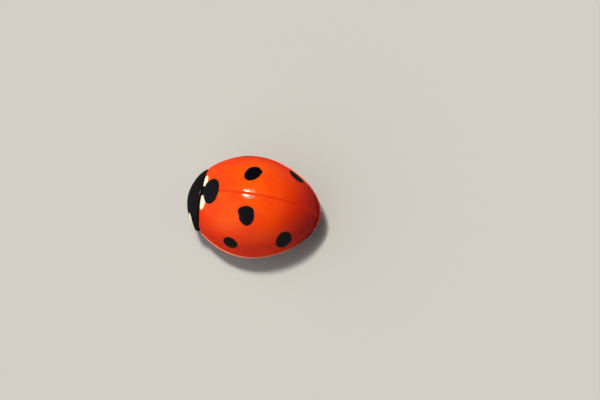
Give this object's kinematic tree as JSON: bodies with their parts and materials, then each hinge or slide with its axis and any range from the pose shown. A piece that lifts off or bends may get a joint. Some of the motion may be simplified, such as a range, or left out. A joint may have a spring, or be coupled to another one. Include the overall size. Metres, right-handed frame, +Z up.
{
  "type": "seven-spot ladybird",
  "caption": "Life-size still model of a red ladybird with black spots, domed wing cases closed and its head tucked under the black shield, resting on its feet.",
  "frame": {"origin": "on the floor, below the middle of the beetle's bounding box", "axes": "+Y to the rear along the seam of the wing cases, with the head towards -Y; +X to the beetle's left; +Z up"},
  "size_m": [0.0052, 0.0066, 0.004],
  "materials": {
    "wing_case_red": "glossy orange-red chitin with round black spots and a cream patch at the base",
    "shield_black": "glossy black chitin with cream front corners",
    "eye_black": "glossy, finely faceted",
    "body_black": "satin black chitin with a fine grain",
    "feeler_brown": "satin brown chitin"
  },
  "bodies": {
    "root": {"elytron_left": "wing_case_red", "elytron_right": "wing_case_red", "scutellum": "shield_black", "pronotum": "shield_black", "head": "shield_black", "eye_left": "eye_black", "eye_right": "eye_black", "labrum": "feeler_brown", "mandible_left": "feeler_brown", "mandible_right": "feeler_brown", "palp_left": "feeler_brown", "palp_right": "feeler_brown", "antenna_left": "feeler_brown", "antenna_right": "feeler_brown", "prosternum": "body_black", "thorax": "body_black", "abdomen": "body_black", "leg_front_femur_left": "body_black", "leg_front_femur_right": "body_black", "leg_front_tibia_left": "body_black", "leg_front_tibia_right": "body_black", "leg_front_tarsus_left": "body_black", "leg_front_tarsus_right": "body_black", "leg_middle_femur_left": "body_black", "leg_middle_femur_right": "body_black", "leg_middle_tibia_left": "body_black", "leg_middle_tibia_right": "body_black", "leg_middle_tarsus_left": "body_black", "leg_middle_tarsus_right": "body_black", "leg_hind_femur_left": "body_black", "leg_hind_femur_right": "body_black", "leg_hind_tibia_left": "body_black", "leg_hind_tibia_right": "body_black", "leg_hind_tarsus_left": "body_black", "leg_hind_tarsus_right": "body_black"}
  },
  "joints": []
}
